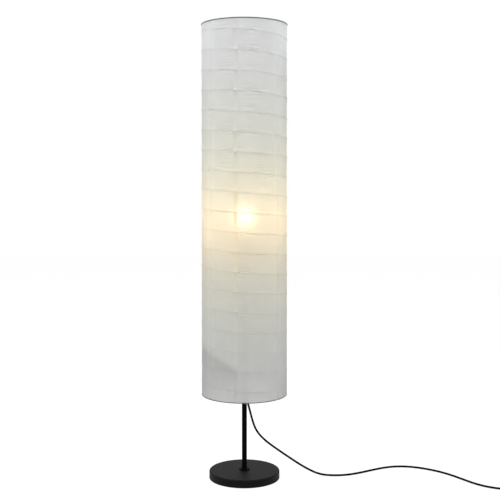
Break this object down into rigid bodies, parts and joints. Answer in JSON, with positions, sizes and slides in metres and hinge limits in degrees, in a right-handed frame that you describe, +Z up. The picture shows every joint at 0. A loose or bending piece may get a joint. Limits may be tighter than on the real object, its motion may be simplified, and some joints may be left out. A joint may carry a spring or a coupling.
{
  "type": "floor lamp",
  "caption": "Tall cylindrical paper lantern shade with a wound inner wire on a slim pole with a round weighted base and a corded foot switch.",
  "frame": {"origin": "centre of the base's underside, on the floor", "axes": "+Z up along the pole, +X the side where the cord leaves, -Y the front"},
  "size_m": [0.9861, 0.2747, 1.172],
  "materials": {
    "black_powder_coat": "fine satin powder coat",
    "foam_pad": "closed-cell foam",
    "cast_weight": "raw casting",
    "zinc_plated_steel": "zinc plated",
    "grey_lacquered_wire": "lacquered steel wire",
    "rib_wire_steel": "drawn wire",
    "nickel_plated_steel": "nickel plated",
    "black_soft_plastic": "moulded soft plastic",
    "black_cord_jacket": "satin extruded jacket",
    "black_holder_plastic": "moulded thermoset",
    "white_porcelain": "glazed",
    "brass_contacts": "stamped sheet",
    "lead_insulation": "extruded",
    "tinned_contact": "tinned",
    "white_housing_plastic": "moulded",
    "white_circuit_board": "coated board",
    "opal_diffuser": "opal diffuser",
    "rice_paper": "translucent fibrous paper",
    "rice_paper_seam": "doubled translucent paper",
    "black_switch_plastic": "finely textured moulding",
    "black_button_plastic": "smooth moulding",
    "spring_steel": "drawn spring wire",
    "beige_module_plastic": "moulded",
    "black_plug_plastic": "moulded",
    "nickel_plated_brass": "nickel plated"
  },
  "bodies": {
    "stand": {"base_pad": "foam_pad", "base_weight": "cast_weight", "base_cover": "black_powder_coat", "base_washer": "zinc_plated_steel", "base_lock_washer": "zinc_plated_steel", "base_bolt": "zinc_plated_steel", "pole_collar": "black_powder_coat", "pole_foot_plug": "zinc_plated_steel", "lower_pole": "black_powder_coat", "pole_joiner": "zinc_plated_steel", "upper_pole": "black_powder_coat", "cord_gland": "black_soft_plastic", "inner_cord": "black_cord_jacket", "holder_nipple": "zinc_plated_steel", "harp_saddle": "nickel_plated_steel", "holder_nut": "zinc_plated_steel", "holder_cap": "black_holder_plastic", "holder_body": "black_holder_plastic", "holder_ring": "black_holder_plastic", "holder_insulator": "white_porcelain", "screw_shell": "brass_contacts", "centre_contact": "brass_contacts", "terminal_screws": "zinc_plated_steel", "terminal_leads": "lead_insulation", "harp_ferrules": "nickel_plated_steel", "harp_wire": "nickel_plated_steel", "harp_stud": "nickel_plated_steel", "top_frame": "grey_lacquered_wire", "finial_washer": "nickel_plated_steel", "finial": "nickel_plated_steel", "paper_shade": "rice_paper", "seam_strip": "rice_paper_seam", "rib_wire": "rib_wire_steel", "cord_lead": "black_cord_jacket", "switch_relief_in": "black_soft_plastic", "switch_base": "black_switch_plastic", "switch_cover": "black_switch_plastic", "switch_spring": "spring_steel", "switch_module": "beige_module_plastic", "switch_screws": "zinc_plated_steel", "switch_relief_out": "black_soft_plastic", "cord_tail": "black_cord_jacket", "cord_coil": "black_cord_jacket", "cord_plug_run": "black_cord_jacket", "plug_relief": "black_soft_plastic", "plug_body": "black_plug_plastic", "plug_pins": "nickel_plated_brass"},
    "shade_bottom": {"bottom_frame": "grey_lacquered_wire"},
    "bulb_tip": {"bulb_contact": "tinned_contact"},
    "bulb": {"bulb_cap": "nickel_plated_brass", "bulb_housing": "white_housing_plastic", "bulb_led_board": "white_circuit_board", "bulb_globe": "opal_diffuser"},
    "button": {"switch_button": "black_button_plastic"}
  },
  "joints": [
    {"name": "shade_fold", "type": "slide", "parent": "stand", "child": "shade_bottom", "axis": [0, 0, 1], "range_m": [0, 0.337], "deforming": ["paper_shade", "seam_strip", "rib_wire"]},
    {"name": "bulb_rise", "type": "slide", "parent": "stand", "child": "bulb_tip", "axis": [0, 0, 1], "range_m": [0, 0.0218]},
    {"name": "bulb_turn", "type": "hinge", "parent": "bulb_tip", "child": "bulb", "pos_m": [0, 0, 0.65], "axis": [0, 0, 1], "range_deg": [0, 2160]},
    {"name": "button_press", "type": "slide", "parent": "stand", "child": "button", "axis": [0, 0, -1], "range_m": [0, 0.0035], "stiffness_N_per_m": 600, "springref_m": -0.003, "deforming": ["switch_spring"]}
  ],
  "couplings": [
    {"joint": "bulb_rise", "follows": "bulb_turn", "m_per_rad": 0.00057757}
  ]
}
